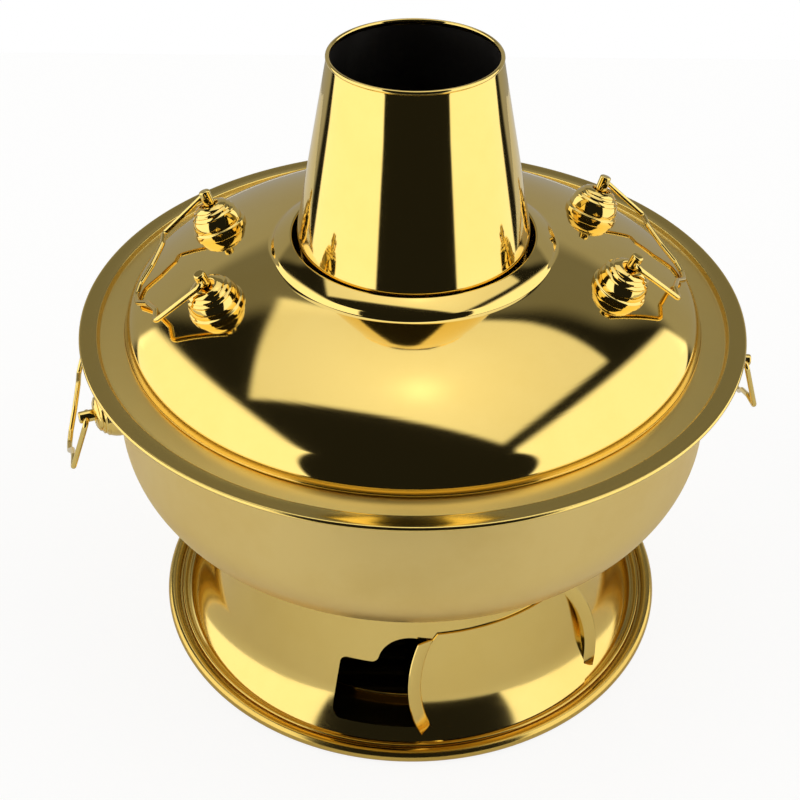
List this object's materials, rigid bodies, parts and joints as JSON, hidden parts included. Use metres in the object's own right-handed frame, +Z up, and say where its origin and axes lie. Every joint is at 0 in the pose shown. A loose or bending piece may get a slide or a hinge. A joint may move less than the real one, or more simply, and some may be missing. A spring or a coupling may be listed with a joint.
{
  "type": "chimney hot pot",
  "caption": "Ring-shaped bowl round a tapered charcoal chimney, on a flared pedestal with a sliding draft door, with a lift-off lid and swinging wire bails.",
  "frame": {"origin": "centre of the tray's flat underside, on the table", "axes": "+Z up along the chimney, the draft vent faces -Y, the handles lie along X"},
  "size_m": [0.3462, 0.32, 0.3092],
  "materials": {
    "polished_gold": "mirror polished",
    "satin_gold": "satin",
    "iron": "rough, sooty"
  },
  "bodies": {
    "tray": {"base_tray": "polished_gold", "ash_pan": "polished_gold"},
    "pot": {"pedestal_skirt": "polished_gold", "bowl": "satin_gold", "bowl_wall": "satin_gold", "rim_ring": "polished_gold", "chimney": "polished_gold", "grate_ring": "polished_gold", "fire_grate": "iron", "bowl_knob_right_front": "polished_gold", "bowl_knob_right_back": "polished_gold", "bowl_knob_left_front": "polished_gold", "bowl_knob_left_back": "polished_gold", "bowl_eye_right_front": "polished_gold", "bowl_eye_right_back": "polished_gold", "bowl_eye_left_front": "polished_gold", "bowl_eye_left_back": "polished_gold"},
    "draft_door": {"draft_door": "polished_gold"},
    "lid": {"lid": "polished_gold", "lid_edge": "polished_gold", "lid_knob_right_front": "polished_gold", "lid_knob_right_back": "polished_gold", "lid_knob_left_front": "polished_gold", "lid_knob_left_back": "polished_gold", "lid_eye_right_front": "polished_gold", "lid_eye_right_back": "polished_gold", "lid_eye_left_front": "polished_gold", "lid_eye_left_back": "polished_gold"},
    "lid_bail_right": {"lid_bail_right": "polished_gold"},
    "lid_bail_left": {"lid_bail_left": "polished_gold"},
    "bowl_bail_right": {"bowl_bail_right": "polished_gold"},
    "bowl_bail_left": {"bowl_bail_left": "polished_gold"}
  },
  "joints": [
    {"name": "pot_lift", "type": "slide", "parent": "tray", "child": "pot", "axis": [0, 0, 1], "range_m": [0, 0.1]},
    {"name": "door_slide", "type": "hinge", "parent": "pot", "child": "draft_door", "pos_m": [0, 0, 0.0245], "axis": [0, 0, 1], "range_deg": [-24, 24]},
    {"name": "lid_lift", "type": "slide", "parent": "pot", "child": "lid", "axis": [0, 0, 1], "range_m": [0, 0.13]},
    {"name": "lid_bail_right_swing", "type": "hinge", "parent": "lid", "child": "lid_bail_right", "pos_m": [0.09692, 0.00899, 0.22218], "axis": [0.0924, -0.9957, 0], "range_deg": [0, 200]},
    {"name": "lid_bail_left_swing", "type": "hinge", "parent": "lid", "child": "lid_bail_left", "pos_m": [-0.09692, -0.00899, 0.22218], "axis": [-0.0924, 0.9957, 0], "range_deg": [0, 200]},
    {"name": "bowl_bail_right_swing", "type": "hinge", "parent": "pot", "child": "bowl_bail_right", "pos_m": [0.15625, 0.02475, 0.1565], "axis": [0.1564, -0.9877, 0], "range_deg": [-34, 161]},
    {"name": "bowl_bail_left_swing", "type": "hinge", "parent": "pot", "child": "bowl_bail_left", "pos_m": [-0.15625, -0.02475, 0.1565], "axis": [-0.1564, 0.9877, 0], "range_deg": [-34, 161]}
  ]
}
